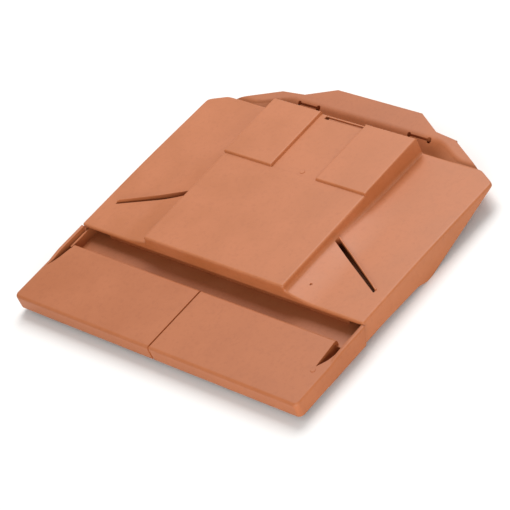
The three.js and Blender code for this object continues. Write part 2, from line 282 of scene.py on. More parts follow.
def add_node(tree, kind, settings=None, links=None):
    """Adds a node, sets its attributes and inputs by name, and links inputs to sockets."""
    node = tree.nodes.new(kind)
    for name, value in (settings or {}).items():
        if hasattr(node, name):
            setattr(node, name, value)
        else:
            node.inputs[name].default_value = value
    for name, socket in (links or {}).items():
        tree.links.new(socket, node.inputs[name])
    return node


def per_mm(size):
    """Noise scale that makes features about this many millimetres across."""
    return 1000.0 / size


def moulded_plastic(name, main, light, dark, roughness):
    """Injection-moulded polypropylene, spark-eroded satin, coloured through like fired clay.

    The pigment spreads unevenly, so broad clouds and fine specks shift the colour a little, and
    the eroded mould leaves a fine grain that softens every reflection.
    """
    material = bpy.data.materials.new(name)
    material.use_nodes = True
    tree = material.node_tree
    tree.nodes.clear()
    place = add_node(tree, "ShaderNodeTexCoord").outputs["Object"]
    clouds = add_node(
        tree, "ShaderNodeTexNoise",
        {"Scale": per_mm(38), "Detail": 3.0, "Roughness": 0.55}, {"Vector": place},
    )
    specks = add_node(
        tree, "ShaderNodeTexNoise",
        {"Scale": per_mm(3.5), "Detail": 2.0, "Roughness": 0.6}, {"Vector": place},
    )
    cloud_share = add_node(
        tree, "ShaderNodeMapRange",
        {"From Min": 0.35, "From Max": 0.65, "To Min": 0.0, "To Max": 1.0},
        {"Value": clouds.outputs["Fac"]},
    )
    speck_share = add_node(
        tree, "ShaderNodeMapRange",
        {"From Min": 0.5, "From Max": 0.8, "To Min": 0.0, "To Max": 0.35},
        {"Value": specks.outputs["Fac"]},
    )
    pigment = add_node(tree, "ShaderNodeMix", {"data_type": "RGBA"})
    pigment.inputs[6].default_value = (*linear(main), 1)
    pigment.inputs[7].default_value = (*linear(light), 1)
    tree.links.new(cloud_share.outputs["Result"], pigment.inputs[0])
    speckled = add_node(tree, "ShaderNodeMix", {"data_type": "RGBA"})
    speckled.inputs[7].default_value = (*linear(dark), 1)
    tree.links.new(speck_share.outputs["Result"], speckled.inputs[0])
    tree.links.new(pigment.outputs[2], speckled.inputs[6])
    gloss = add_node(
        tree, "ShaderNodeMapRange",
        {"From Min": 0.3, "From Max": 0.7, "To Min": roughness - 0.04, "To Max": roughness + 0.05},
        {"Value": clouds.outputs["Fac"]},
    )
    grain = add_node(
        tree, "ShaderNodeTexNoise",
        {"Scale": per_mm(0.9), "Detail": 2.0, "Roughness": 0.5}, {"Vector": place},
    )
    bump = add_node(
        tree, "ShaderNodeBump",
        {"Strength": 0.25, "Distance": 0.00008}, {"Height": grain.outputs["Fac"]},
    )
    shader = add_node(
        tree, "ShaderNodeBsdfPrincipled",
        {"IOR": 1.49},
        {
            "Base Color": speckled.outputs[2],
            "Roughness": gloss.outputs["Result"],
            "Normal": bump.outputs["Normal"],
        },
    )
    add_node(tree, "ShaderNodeOutputMaterial", links={"Surface": shader.outputs["BSDF"]})
    return material


# The base, in millimetres: places up the slope from the front edge, and across from the middle

TAPER_FRONT = 191.0  # where the deck starts to draw in behind the skirts
TAPER_INSET = 11.0
TAPER_REAR = 258.4
LONG_CHAMFER_END = (100.0, 284.5)
SHORT_CHAMFER_END = (75.0, 287.5)
FLANGE_HALF_WIDTH = 48.0
SHEET_BEND = 3.0  # reach of the bend curves before and behind the riser
RISER_FOOT_SWING = 27.0  # how far forward the riser's bends swing at the channel's ends
RISER_HEAD_SWING = 14.0
PLAN_CORNER = 4.5
NOTCH_TIP = 38.5  # the pointed gap beside each plate
NOTCH_WAIST = 48.0
NOTCH_DROP = 5.0
NOTCH_CORNER_X = {1: 150.5, -1: 154.0}
RAIL_START = 34.0
RAIL_DIP = 0.6  # a rail starts this far under the plate's top
WEIR_FRONT = 92.0
WEIR_HALF_WIDTH = 139.0
WALL_TOP = -2.4
STUB_REAR = 79.4  # floor between the plates and the skirts' front edges
WELL_INNER = 148.0  # closed space under each gap
WELL_FRONT = 36.0
WELL_WALL = 1.5
RIB_SPACING = 55.0
RIB_DEPTH = 4.0
THROAT_HALF_WIDTH = 72.0
THROAT_FRONT = 122.0
THROAT_REAR = 230.0
UPSTAND = 9.0  # throat wall over the deck
CLIP_MIDDLE = 63.0
CLIP_REACH = 11.0
CLIP_SETBACK = 1.8
CLIP_SLIT = 1.5
CLIP_HOLES = (1.7, 2.2)  # half widths of the holes at a slit's left and right end
POCKET_REACH = 14.1
POCKET_AHEAD = 5.8
POCKET_BEHIND = 2.2
POCKET_DEPTH = 12.0
POCKET_FLOOR = 1.6  # thickness
GATE_MARK_RADIUS = 2.2
GATE_MARK_HEIGHT = 0.5


def mitred(line, thickness):
    """The line of points (y, z) moved down by a sheet's thickness, with its bends mitred."""
    steps = np.diff(line, axis=0)
    steps /= np.linalg.norm(steps, axis=1, keepdims=True)
    before = np.concatenate([steps[:1], steps])
    after = np.concatenate([steps, steps[-1:]])
    middle = before + after
    middle /= np.linalg.norm(middle, axis=1, keepdims=True)
    reach = thickness / np.sum(middle * after, axis=1, keepdims=True)
    return line + np.column_stack([middle[:, 1], -middle[:, 0]]) * reach


def rounded_line(corners, radius, steps=6):
    """An open line whose inner corners are curves, and the corner that each point belongs to."""
    corners = np.asarray(corners, float)
    inner = corners[1:-1]
    back = corners[:-2] - inner
    ahead = corners[2:] - inner
    back *= radius / np.linalg.norm(back, axis=1, keepdims=True)
    ahead *= radius / np.linalg.norm(ahead, axis=1, keepdims=True)
    t = np.linspace(0, 1, steps + 1)[None, :, None]
    curve = inner[:, None] + back[:, None] * (1 - t) ** 2 + ahead[:, None] * t ** 2
    points = np.concatenate([corners[:1], curve.reshape(-1, 2), corners[-1:]])
    last = len(corners) - 1
    owner = np.concatenate([[0], np.repeat(np.arange(1, last), steps + 1), [last]])
    return points, owner


def deck_outline(size, inset=0.0):
    """Plan of the deck and the flange: drawn in behind the skirts, with two pairs of chamfers."""
    half = HALF_WIDTH - size.side_inset - size.wall - size.fit_gap - inset
    right = [
        (half, size.plate_depth - size.wall),
        (half, TAPER_FRONT),
        (half - TAPER_INSET, TAPER_REAR),
        (LONG_CHAMFER_END[0] - inset * 0.6, LONG_CHAMFER_END[1] - inset * 0.9),
        (SHORT_CHAMFER_END[0] - inset * 0.3, SHORT_CHAMFER_END[1] - inset),
        (FLANGE_HALF_WIDTH - inset * 0.3, LENGTH - inset),
    ]
    left = [(-x, y) for x, y in reversed(right)]
    return right + left


def deck_sheet(size):
    """The sheet from the trough over the deck and up the riser to the flange.

    One bent line is carried across. Towards both ends the riser's two bends swing forward, so
    that the channel behind the cover narrows and fades out.
    """
    deck = size.wall - size.plate_thickness
    corners = np.array([
        [size.plate_depth - size.wall, deck],
        [size.riser_front, deck],
        [size.flange_front, -size.flange_drop],
        [LENGTH - 1, -size.flange_drop],
    ])
    top_line, owner = rounded_line(corners, SHEET_BEND)
    bottom_line, _ = rounded_line(mitred(corners, size.wall), SHEET_BEND)
    x = stations(-163, (-124, 4), (-78, 20), (78, 12), (124, 20), (163, 4))
    swing = smooth(80, 122, np.abs(x))
    reach = np.choose(owner, [0.0, RISER_FOOT_SWING, RISER_HEAD_SWING, 0.0])
    grids = []
    for line in (top_line, bottom_line):
        grid = np.empty((len(line), len(x), 3))
        grid[..., 0] = x
        grid[..., 1] = line[:, :1] - reach[:, None] * swing
        grid[..., 2] = line[:, 1:]
        grids.append(grid)
    return slab("deck", *grids)


def notch_outline(size, side):
    """Plan of the pointed gap between a plate and its rail, which differs from side to side."""
    outer = HALF_WIDTH - size.rail_width
    rear = size.plate_depth - size.wall
    inner = NOTCH_CORNER_X[side]
    if side > 0:
        corners = [(153, NOTCH_TIP), (158.8, NOTCH_WAIST), (outer, 60), (outer, rear), (inner, rear)]
        return rounded_outline(corners, [0.6, 4, 4, 0.3, 0.8])
    corners = [(161.5, NOTCH_TIP), (outer, 57), (outer, rear), (inner, rear), (157.5, NOTCH_WAIST)]
    return mirrored(rounded_outline(corners, [0.4, 4, 0.3, 0.8, 4]), side)


def front_shelf(size):
    """The two front plates over their hollow, with the groove between them and the notches."""
    depth = size.plate_depth
    rounding = size.plate_rounding
    low = -size.plate_thickness
    half = HALF_WIDTH
    sin, cos = quarter(6)
    front_right = np.column_stack([half - PLAN_CORNER * (1 - sin), PLAN_CORNER * (1 - cos)])
    front_left = front_right[::-1] * [-1, 1]
    outline = np.concatenate([front_left, front_right, [[half, depth], [-half, depth]]])
    sides = size.side_rounding
    turning = sides + (rounding - sides) * (np.arange(6) + 0.5) / 6
    top = np.concatenate([turning, [rounding], turning[::-1], [sides, rounding, sides]])
    shelf = prism("shelf", outline, low, 0, top=top, foot=0.5)
    inner = half - size.wall
    joint = size.joint_width / 2
    groove = size.joint_depth
    cuts = [
        box("hollow", (-inner, inner), (size.wall, depth - size.wall), (low - MARGIN, -size.wall)),
        box("joint", (-joint, joint), (-MARGIN, depth + MARGIN), (-groove, MARGIN)),
        box("face_joint", (-joint, joint), (-MARGIN, groove), (low - MARGIN, MARGIN)),
    ]
    for side, corner_x in NOTCH_CORNER_X.items():
        across = side * corner_x, side * (half - size.rail_width)
        cuts += [
            prism("notch", notch_outline(size, side), -size.wall - MARGIN, MARGIN),
            box("notch_drop", across, (depth - 2 * size.wall, depth + MARGIN), (-NOTCH_DROP, MARGIN)),
        ]
    combine(shelf, cuts, "DIFFERENCE")
    return shelf


def rail(size, side):
    """A side rail that swells out of the plate's edge and rises beside the gap.

    Its section is a wall with a round outer shoulder, carried from beside the plate to the
    skirt. The height is an S curve, and the rear end leans like the skirt's front edge.
    """
    sin, cos = quarter(6)
    outer = HALF_WIDTH - 0.05
    inner = HALF_WIDTH - size.rail_width
    radius = size.side_rounding
    low = -size.plate_thickness
    section_x = np.concatenate([[inner, inner], outer - radius + radius * sin, [outer]])
    drop = np.concatenate([[0.0, 0.3], radius * (1 - cos), [0.0]])
    rounded = np.concatenate([[0, 1], np.ones(len(sin)), [0]])
    nominal = np.where(rounded > 0, size.rail_height - drop, low)
    skirt_head = size.wing_height - size.wall / 2
    lean = np.clip((skirt_head - nominal) / (skirt_head - low), 0, 1)
    end = size.lip_setback - size.rail_gap - SKIRT_LEAN * lean
    y = RAIL_START + (end - RAIL_START) * np.linspace(0, 1, 34)[:, None]
    height = (size.rail_height + RAIL_DIP) * smooth(36, 60, y) - RAIL_DIP
    rings = np.empty((*y.shape, 3))
    rings[..., 0] = side * section_x
    rings[..., 1] = y
    rings[..., 2] = np.where(rounded > 0, height - drop, low)
    return bar("rail", rings if side > 0 else rings[:, ::-1])


def pocket(size, side):
    """The closed pocket under a clip window. Its top follows the middle of the riser's wall."""
    deck = size.wall - size.plate_thickness
    head = -size.flange_drop - size.wall / 2
    slope = (-size.flange_drop - deck) / (size.flange_front - size.riser_front)
    sink = size.wall / 2 * math.hypot(1, slope)
    y = stations(size.flange_front - POCKET_AHEAD, (size.flange_front + POCKET_BEHIND, 16))
    top = np.empty((len(y), 2, 3))
    top[..., 0] = side * CLIP_MIDDLE + np.array([-POCKET_REACH, POCKET_REACH])
    top[..., 1] = y[:, None]
    top[..., 2] = np.minimum(head, deck + (y - size.riser_front) * slope - sink)[:, None]
    bottom = top.copy()
    bottom[..., 2] = -POCKET_DEPTH
    return slab("pocket", top, bottom)


def well(size, side):
    """The floor under a gap beside a plate, with a wall on its inner side and one in front."""
    deck = size.wall - size.plate_thickness
    rear = size.plate_depth - size.wall / 2
    across = side * WELL_INNER, side * (HALF_WIDTH - size.wall / 2)
    upright = deck - size.wall / 2, -size.wall / 2
    inner_wall = side * WELL_INNER, side * (WELL_INNER + WELL_WALL)
    return [
        box("well_floor", across, (WELL_FRONT, rear), (deck - size.wall, deck)),
        box("well_wall", inner_wall, (WELL_FRONT, rear), upright),
        box("well_front", across, (WELL_FRONT, WELL_FRONT + WELL_WALL), upright),
    ]


def clip_window(size, side):
    """The cuts of a clip window through the riser: a slit with a hole at each end."""
    y = size.flange_front - CLIP_SETBACK
    z = (POCKET_FLOOR - POCKET_DEPTH, MARGIN)
    ends = side * CLIP_MIDDLE - CLIP_REACH, side * CLIP_MIDDLE + CLIP_REACH
    cuts = [box("clip_slit", ends, (y - CLIP_SLIT / 2, y + CLIP_SLIT / 2), z)]
    for x, reach in zip(ends, CLIP_HOLES):
        cuts.append(box("clip_hole", (x - reach, x + reach), (y - reach, y + reach), z, upright=reach - 0.3))
    return cuts


def gate_mark(x, y, surface):
    """The small low dome left where the plastic entered the mould."""
    return disc(
        "gate_mark", x, y, GATE_MARK_RADIUS, surface - 1, surface + GATE_MARK_HEIGHT,
        top=GATE_MARK_HEIGHT - 0.05,
    )


def build_base(size, material):
    """The base: shelf, rails, ribs, deck, weir, throat and flange joined into one moulding."""
    depth = size.plate_depth
    wall = size.wall
    deck = wall - size.plate_thickness
    drop = size.flange_drop
    head = size.flange_front
    body = deck_sheet(size)
    combine(body, [prism("deck_plan", deck_outline(size, 0.8), -40, MARGIN)], "INTERSECT")
    flange_plan = [(x, y) for x, y in deck_outline(size) if y > head]
    inner_edge = [(-98, head + 2), (98, head + 2)]
    weir_x = -WEIR_HALF_WIDTH, WEIR_HALF_WIDTH
    weir_z = deck - wall / 2, deck + size.weir_height
    parts = [
        front_shelf(size),
        prism("flange", [*flange_plan, *inner_edge], -drop - wall, -drop, top=0.7, foot=0.5),
        box("weir", weir_x, (WEIR_FRONT, WEIR_FRONT + wall), weir_z, top=0.7),
    ]
    outer = HALF_WIDTH - size.side_inset - wall - size.fit_gap
    for side in (1, -1):
        wall_x = side * (outer - wall), side * outer
        stub_x = side * (outer - wall), side * (HALF_WIDTH - wall / 2)
        parts += [
            rail(size, side),
            box("deck_wall", wall_x, (depth - wall, TAPER_FRONT), (deck - wall / 2, WALL_TOP), top=0.6),
            box("stub", stub_x, (depth - wall, STUB_REAR), (deck - wall, deck)),
            *well(size, side),
            pocket(size, side),
        ]
    for x in RIB_SPACING * np.arange(-2, 3):
        parts.append(box(
            "rib", (x - 1, x + 1), (wall / 2, depth - wall / 2), (-wall - RIB_DEPTH, -wall / 2), foot=0.4,
        ))
    parts.append(box(
        "throat_wall", (-THROAT_HALF_WIDTH - wall, THROAT_HALF_WIDTH + wall),
        (THROAT_FRONT - wall, THROAT_REAR + wall), (-REST_DEPTH, deck + UPSTAND),
        top=0.8, foot=0.6, upright=3.0,
    ))
    parts.append(gate_mark(153.5, 34.8, 0.0))
    combine(body, parts, "UNION")
    throat_x = -THROAT_HALF_WIDTH, THROAT_HALF_WIDTH
    throat_z = -REST_DEPTH - MARGIN, size.raised_height
    cuts = [box("throat", throat_x, (THROAT_FRONT, THROAT_REAR), throat_z, upright=2.0)]
    for side in (1, -1):
        cuts += clip_window(size, side)
    combine(body, cuts, "DIFFERENCE")
    body.name = body.data.name = "base_moulding"
    finish_piece(body, "vent_base", material)


# The cover, in millimetres as the base

WING_FALL = 0.029  # for each millimetre up the slope, behind the bend
WING_BEND_LENGTH = 10.0
SWEEP_OUTER = 115.0
SWEEP_WIDTH = 34.0
SWEEP_FADE = (120.0, 222.0)
COVER_CHAMFER_START = 252.5
COVER_CHAMFER_SLOPE = 1.97  # millimetres in for each millimetre up the slope
RAISED_PLAN_CORNER = 2.0
WING_PLAN_CORNER = 0.8
SLOT_GAP = 1.5
SLOT_OUTER_INSET = 13.5
SLOT_OUTER_Y = 116.5
SLOT_SLANT = 0.48  # how far a slot runs up the slope for each millimetre inwards
SLOT_TAPER = 45.5
SLOT_NARROWING = 1.8
SLOT_LIP_THICKNESS = 1.6
GROOVE_LEFT = -19.0  # groove across the strip, with a hole through its left end
GROOVE_RIGHT = 25.0
GROOVE_WIDTH = 3.2
GROOVE_DEPTH = 1.4
GROOVE_SETBACK = 2.0


def plain_wing(size, y):
    """Height of a wing without its sweep: level from the lip, then falling after a long bend."""
    return size.wing_height - WING_FALL * soft_ramp(y - size.wing_bend, WING_BEND_LENGTH)


def wing_height(size, x, y):
    """Height of a wing with its sweep up to the raised plate.

    The sweep is a parabola across, and fades out up the slope.
    """
    across = np.clip((SWEEP_OUTER - np.abs(x)) / SWEEP_WIDTH, 0.0, 1.0)
    return plain_wing(size, y) + size.sweep_rise * across ** 2 * (1 - smooth(*SWEEP_FADE, y))


def skirt_foot(y):
    """Height of the skirt's lower edge: straight, a short step down to the knee, then rising."""
    bends = [87, 106, 148, 157.5, 163, 250, 262]
    return np.interp(y, bends, [-13.5, -13.6, -15.5, -19, -19, -2.1, -2.1])


def side_reach(y, side, front, corner):
    """Half width of a plan with rounded front corners, at places up the slope."""
    ahead = np.clip(y - front, 0, corner)
    return side - corner + np.sqrt(np.maximum(corner ** 2 - (corner - ahead) ** 2, 0))


def cover_rows(size):
    """Rows of the cover up the slope: their places, and how far each edge's rounding has turned.

    They run over the foot of the front face, the rounding of the front edge, the top with the
    step up to the upper plates, the rounding of the rear edge and its foot.
    """
    front, rear = size.lip_setback, size.cover_rear
    edge, course_edge = size.raised_edge, size.course_edge
    course = rear - size.course_length
    sin, cos = quarter(5)
    y = np.concatenate([
        [front],
        front + edge * (1 - cos),
        stations(front + edge, (front + 2.6, 1), (course - 0.6, 70))[1:],
        [course - 0.1],
        course + 0.1 + course_edge * (1 - cos),
        stations(course + 1, (course + 1.6, 1), (rear - edge - 0.6, 40), (rear - edge, 1))[1:-1],
        rear - edge + edge * sin,
        [rear],
    ])
    lead = len(sin) + 1
    plain = np.zeros(len(y) - lead)
    front_turn = np.concatenate([[1.0], 1 - sin, plain])
    rear_turn = np.concatenate([plain, 1 - cos, [1.0]])
    on_course = (y > course).astype(float)
    course_turn = np.zeros(len(y))
    first = int(np.argmax(on_course))
    course_turn[first:first + len(sin)] = 1 - sin
    return y, front_turn, rear_turn, on_course, course_turn


def cover_grids(size):
    """Outer and inner grid of the cover's right half, from the middle out and down the skirt.

    Columns run across the raised plate and its rounded edge (kinds 0 and 1), the fillet at its
    foot and the wing (2), the rounding of the wing's edge (3) and the skirt (4). Height is the
    wing, or the raised plate, or the upper plates over it, each with its round edges taken off.
    """
    y, front_turn, rear_turn, on_course, course_turn = cover_rows(size)
    front, rear, side = size.lip_setback, size.cover_rear, size.raised_half_width
    edge, course_edge, wing_edge = size.raised_edge, size.course_edge, size.side_rounding
    fillet, strip, wall = size.fillet, size.strip_half_width, size.wall
    outer = HALF_WIDTH - size.side_inset
    sin, cos = quarter(5)
    plate_x = np.concatenate([
        stations(0, (strip - 0.8, 12)), [strip - 0.1],
        strip + 0.1 + course_edge * (1 - cos),
        stations(strip + 1, (strip + 1.6, 1), (76, 20), (side - edge - 0.6, 2))[1:],
    ])
    upper_from = int(np.argmax(plate_x > strip))
    wing_x = np.concatenate([
        side + fillet * (1 - cos),
        stations(side + fillet, (116, 30), (outer - wing_edge - 0.6, 26), (outer - wing_edge, 1))[1:-1],
    ])
    skirt_steps = 9
    kind = np.repeat([0, 1, 2, 3, 4], [len(plate_x), len(sin), len(wing_x), len(sin), skirt_steps])
    columns = len(kind)
    rows = y[:, None]

    corner_side = side_reach(rows, side, front, RAISED_PLAN_CORNER)
    chamfer = soft_ramp(rows - COVER_CHAMFER_START, 0.8) * COVER_CHAMFER_SLOPE
    reach = side_reach(rows, outer, front, WING_PLAN_CORNER) - chamfer
    x = np.zeros((len(y), columns))
    x[:, kind == 0] = plate_x * np.minimum(1, (corner_side - edge - 0.6) / (side - edge - 0.6))
    upper = np.zeros(columns)
    upper[upper_from:len(plate_x) + len(sin)] = 1.0
    lift = on_course[:, None] * upper
    radius = edge + (course_edge - edge) * lift
    x[:, kind == 1] = corner_side - radius[:, kind == 1] * (1 - sin)
    spread = (wing_x - side) / (outer - wing_edge - side)
    x[:, kind == 2] = corner_side + 0.1 + (reach - wing_edge - corner_side - 0.1) * spread
    x[:, kind == 3] = reach - wing_edge * (1 - sin)
    x[:, kind == 4] = reach

    upper_turn = np.zeros(columns)
    upper_turn[upper_from:upper_from + len(sin)] = 1 - sin
    column_turn = np.zeros(columns)
    column_turn[kind == 1] = 1 - cos
    ends = np.minimum(front_turn[:, None] + rear_turn[:, None] + column_turn, 1)
    sunk = on_course[:, None] * (1 - upper) * size.strip_drop
    plate_z = size.raised_height + lift * size.course_rise - sunk - radius * ends
    plate_z -= lift * course_edge * np.minimum(course_turn[:, None] + upper_turn, 1) * (ends == 0)

    wing_z = wing_height(size, x, rows)
    foot_rise = np.zeros(columns)
    foot_rise[np.flatnonzero(kind == 2)[:len(sin)]] = fillet * (1 - sin)
    wing_z = wing_z + foot_rise - size.lip_edge * np.minimum(front_turn + rear_turn, 1)[:, None]
    bend = np.zeros(columns)
    bend[kind == 3] = 1 - cos
    bend[kind == 4] = 1.0
    low = skirt_foot(rows)
    room = np.minimum(wing_edge, wing_z - low - 0.6)
    depth = np.zeros(columns)
    depth[kind == 4] = np.arange(1, skirt_steps + 1) / skirt_steps
    z = np.where(kind <= 1, plate_z, wing_z - room * bend)
    z = z + (low - z) * depth
    z[0] = np.where(kind <= 2, size.lip_foot, z[0])
    rear_foot = -2.0 + 1.3 * smooth(94, 122, x[-1])
    z[-1] = np.where(kind <= 2, rear_foot, z[-1])

    steps = np.arange(len(y))
    apart = np.clip(y, front + 0.3 * steps, rear - 0.3 * steps[::-1])[:, None]
    share = np.where(kind == 4, 1.0, np.where(kind == 3, bend, 0.0))
    ys = rows + (apart - rows) * share - SKIRT_LEAN * (1 - smooth(front, front + 22, rows)) * depth
    outer_grid = np.stack([x, ys, z], axis=-1)

    inner_grid = outer_grid.copy()
    span = (ys - front) / (rear - front)
    inner_grid[..., 1] = np.where(kind <= 2, front + wall + span * (rear - front - 2 * wall), ys)
    hollow_side = side - wall
    under_plate = x * np.minimum(1, hollow_side / x[:, kind == 1][:, -1:])
    wing_first = x[:, kind == 2][:, :1]
    across_wing = np.clip((x - wing_first) / (reach - wing_first), 0, 1)
    under_wing = hollow_side + 0.35 + across_wing * (reach - wall - hollow_side - 0.35)
    inner_grid[..., 0] = np.where(kind <= 1, under_plate, under_wing)
    ceiling = np.where(kind <= 1, size.raised_height - wall, plain_wing(size, inner_grid[..., 1]) - wall)
    ceiling = np.where(kind == 4, ceiling + (low - ceiling) * depth, ceiling)
    ceiling[0] = np.where(kind <= 2, size.lip_foot, ceiling[0])
    ceiling[-1] = np.where(kind <= 2, rear_foot, ceiling[-1])
    inner_grid[..., 2] = ceiling
    return outer_grid, inner_grid


def slot_line(size):
    """Places across a water slot, and where its front and rear edges lie up the slope.

    The front edge is straight and slanted. The slot narrows towards its outer end.
    """
    outer = HALF_WIDTH - size.side_inset - SLOT_OUTER_INSET
    inner = size.raised_half_width + SLOT_GAP
    x = stations(inner, (outer - SLOT_TAPER, 2), (outer, 30))
    front = SLOT_OUTER_Y + SLOT_SLANT * (outer - x)
    run = np.interp(x, [outer - SLOT_TAPER, outer], [size.slot_run, size.slot_run - SLOT_NARROWING])
    return x, front, front + run


def slot_cutter(size, side):
    """The block that cuts a water slot through a wing, with small round corners."""
    x, front, rear = slot_line(size)
    corners = [(x[0], front[0]), (x[-1], front[-1]), (x[-1], rear[-1]), (x[2], rear[2]), (x[0], rear[0])]
    outline = mirrored(rounded_outline(corners, [1.2, 1.2, 1.2, 0.6, 1.2]), side)
    return prism("water_slot", outline, -MARGIN, MARGIN)


def slot_lip(size, side):
    """The low wall behind a water slot, with a round top, which follows the wing's height."""
    x, _, rear = slot_line(size)
    across = np.array([0.0, 0.1, 0.35, 0.8, 1.25, 1.5, SLOT_LIP_THICKNESS])
    crown = size.slot_lip - np.array([0.8, 0.35, 0.1, 0.0, 0.1, 0.35, 0.8])
    columns_x = np.clip(x, x[0] + 0.2, x[-1] + 0.6)
    top = np.empty((len(across), len(x), 3))
    top[..., 0] = columns_x
    top[..., 1] = rear + 0.02 + across[:, None]
    surface = wing_height(size, columns_x, rear + SLOT_LIP_THICKNESS / 2)
    ends = np.minimum(1, np.minimum(np.arange(len(x)), np.arange(len(x))[::-1]) / 2)
    top[..., 2] = surface + crown[:, None] * (0.5 + 0.5 * ends)
    bottom = top.copy()
    bottom[..., 2] = surface - 1.4
    if side < 0:
        top, bottom = (grid[:, ::-1] * [-1, 1, 1] for grid in (top, bottom))
    return slab("slot_lip", top, bottom)


def build_cover(size, material):
    """The cover: raised plates, wings, skirts, water slots and their lips as one moulding."""
    outer_grid, inner_grid = cover_grids(size)
    top = np.concatenate([(outer_grid * [-1, 1, 1])[:, :0:-1], outer_grid], axis=1)
    bottom = np.concatenate([(inner_grid * [-1, 1, 1])[:, :0:-1], inner_grid], axis=1)
    body = slab("cover_moulding", top, bottom)
    strip = size.raised_height - size.strip_drop
    rear = size.cover_rear - GROOVE_SETBACK
    groove_y = rear - GROOVE_WIDTH, rear
    groove_hole_x = GROOVE_LEFT, GROOVE_LEFT + GROOVE_WIDTH
    additions = [slot_lip(size, side) for side in (1, -1)]
    additions.append(gate_mark(6.5, 198.4, strip))
    combine(body, additions, "UNION")
    cuts = [slot_cutter(size, side) for side in (1, -1)]
    cuts += [
        box("strip_groove", (GROOVE_LEFT, GROOVE_RIGHT), groove_y, (strip - GROOVE_DEPTH, 30), upright=0.6),
        box("groove_hole", groove_hole_x, groove_y, (-MARGIN, 30), upright=0.6),
        disc("dimple", 94, 104, 1.2, size.wing_height + 1.2, 30),
    ]
    combine(body, cuts, "DIFFERENCE")
    finish_piece(body, "vent_cover", material)


# The stage


def area_light(name, position, target, size, power, colour):
    """A square soft light that faces a target."""
    light = bpy.data.lights.new(name, "AREA")
    light.shape = "SQUARE"
    light.size = size
    light.energy = power
    light.color = linear(colour)
    lamp = bpy.data.objects.new(name, light)
    bpy.context.scene.collection.objects.link(lamp)
    back = np.array(position, float) - np.array(target, float)
    back /= np.linalg.norm(back)
    right = np.cross([0, 1, 0.001], back)
    right /= np.linalg.norm(right)
    up = np.cross(back, right)
    matrix = np.eye(4)
    matrix[:3, 0], matrix[:3, 1], matrix[:3, 2], matrix[:3, 3] = right, up, back, position
    lamp.matrix_world = Matrix(matrix.tolist())
    return lamp


def build_stage(stage, colours):
    """A plain pale floor, a large soft light overhead, an even surround and the camera."""
    scene = bpy.context.scene
    mesh = bpy.data.meshes.new("floor")
    reach = 4.0
    corners = [(-reach, -reach, 0), (reach, -reach, 0), (reach, reach, 0), (-reach, reach, 0)]
    mesh.from_pydata(corners, [], [(0, 1, 2, 3)])
    floor = bpy.data.objects.new("floor", mesh)
    scene.collection.objects.link(floor)
    paper = bpy.data.materials.new("matte_card")
    paper.use_nodes = True
    shader = paper.node_tree.nodes["Principled BSDF"]
    shader.inputs["Base Color"].default_value = (*linear(colours.floor), 1)
    shader.inputs["Roughness"].default_value = 1.0
    shader.inputs["Specular IOR Level"].default_value = 0.0
    mesh.materials.append(paper)

    world = bpy.data.worlds.new("surround")
    world.use_nodes = True
    world.node_tree.nodes["Background"].inputs["Color"].default_value = (1, 1, 1, 1)
    world.node_tree.nodes["Background"].inputs["Strength"].default_value = stage.surround
    scene.world = world

    area_light("overhead", (-0.45, 0.95, 1.55), (0, 0, 0), 1.2, stage.overhead, "#ffffff")
    area_light("front_card", (1.0, -1.1, 0.3), (0, 0, 0), 0.8, stage.front_card, "#ffffff")

    camera = bpy.data.cameras.new("camera")
    camera.sensor_fit = "HORIZONTAL"
    camera.sensor_width = 36.0
    camera.lens = stage.lens
    camera.clip_start = 0.1
    camera.clip_end = 50.0
    view = bpy.data.objects.new("camera", camera)
    scene.collection.objects.link(view)
    tilt = math.pi / 2 - stage.elevation
    turn = Matrix.Rotation(stage.azimuth, 3, "Z") @ Matrix.Rotation(tilt, 3, "X")
    view.matrix_world = Matrix.LocRotScale(stage.place, turn @ Matrix.Rotation(stage.roll, 3, "Z"), None)
    scene.camera = view
    scene.view_settings.view_transform = "Standard"


# The add-on


def length(name, description, millimetre):
    """A length setting, stored in metres."""
    return bpy.props.FloatProperty(
        name=name, description=description, default=millimetre / 1000, precision=5,
        unit="LENGTH", subtype="DISTANCE",
    )


def angle(name, description, degrees):
    """An angle setting, stored in radians."""
    return bpy.props.FloatProperty(
        name=name, description=description, default=math.radians(degrees), subtype="ANGLE",
    )


def colour(name, description, value):
    """A colour setting, as an sRGB hex value."""
    return bpy.props.StringProperty(name=name, description=description, default=value)


